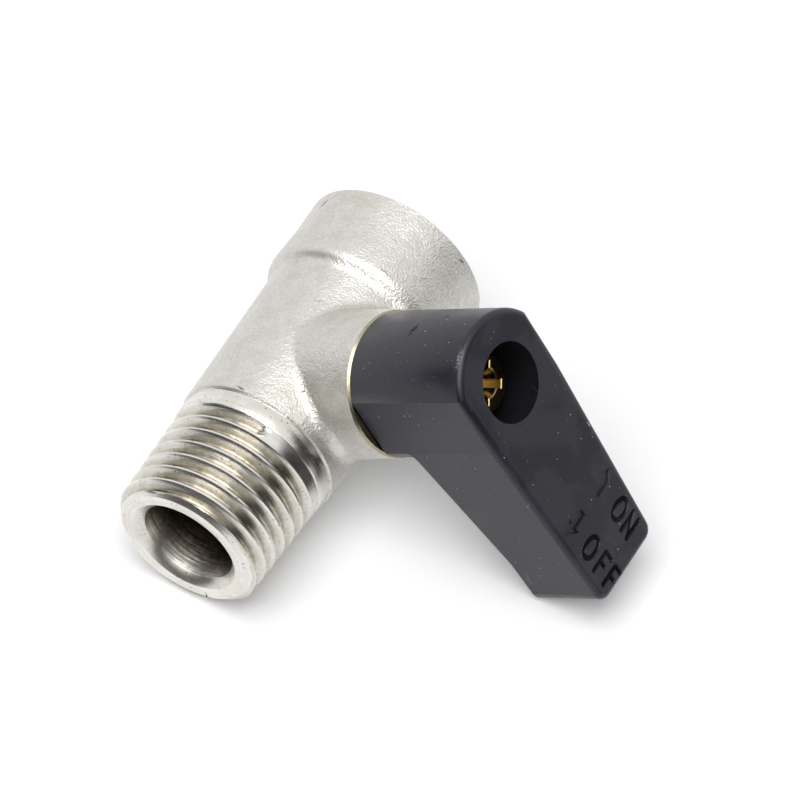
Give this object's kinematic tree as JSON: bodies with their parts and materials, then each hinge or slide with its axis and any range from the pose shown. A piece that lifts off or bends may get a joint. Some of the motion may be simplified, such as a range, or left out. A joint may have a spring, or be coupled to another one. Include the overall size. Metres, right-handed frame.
{
  "type": "drain valve",
  "caption": "Quarter-turn ball drain valve: male threaded inlet, female threaded outlet in line, stem boss at right angles and a lever handle held by a screw.",
  "frame": {"origin": "centre of the end face of the male threaded inlet, on the flow axis", "axes": "+X along the flow axis from inlet to outlet, +Z along the stem from the barrel to the handle, -Y the way the lever points when the valve is shut"},
  "size_m": [0.0345, 0.0293, 0.0317],
  "materials": {
    "nickel_plated_brass": "nickel plated; blasted on the forged outside, turned bright on the thread and bores",
    "polished_plating": "bright plated and polished",
    "white_seat_plastic": "waxy white",
    "bare_brass": "turned, bare",
    "seal_rubber": "black, matt",
    "black_plastic": "satin moulded, fine scratches",
    "yellow_screw_plating": "yellow passivated"
  },
  "bodies": {
    "body": {"valve_body": "nickel_plated_brass", "inlet_seat": "white_seat_plastic", "outlet_seat": "white_seat_plastic", "seat_retainer": "bare_brass", "thrust_washer": "white_seat_plastic"},
    "handle": {"handle": "black_plastic", "handle_screw": "yellow_screw_plating", "stem": "bare_brass", "lower_stem_ring": "seal_rubber", "upper_stem_ring": "seal_rubber"},
    "ball": {"ball": "polished_plating"}
  },
  "joints": [
    {"name": "handle_turn", "type": "hinge", "parent": "body", "child": "handle", "pos_m": [0.0192, 0, 0], "axis": [0, 0, 1], "range_deg": [0, 90]},
    {"name": "ball_turn", "type": "hinge", "parent": "body", "child": "ball", "pos_m": [0.0192, 0, 0], "axis": [0, 0, 1], "range_deg": [0, 90]}
  ],
  "couplings": [
    {"joint": "ball_turn", "follows": "handle_turn", "ratio": 1}
  ]
}
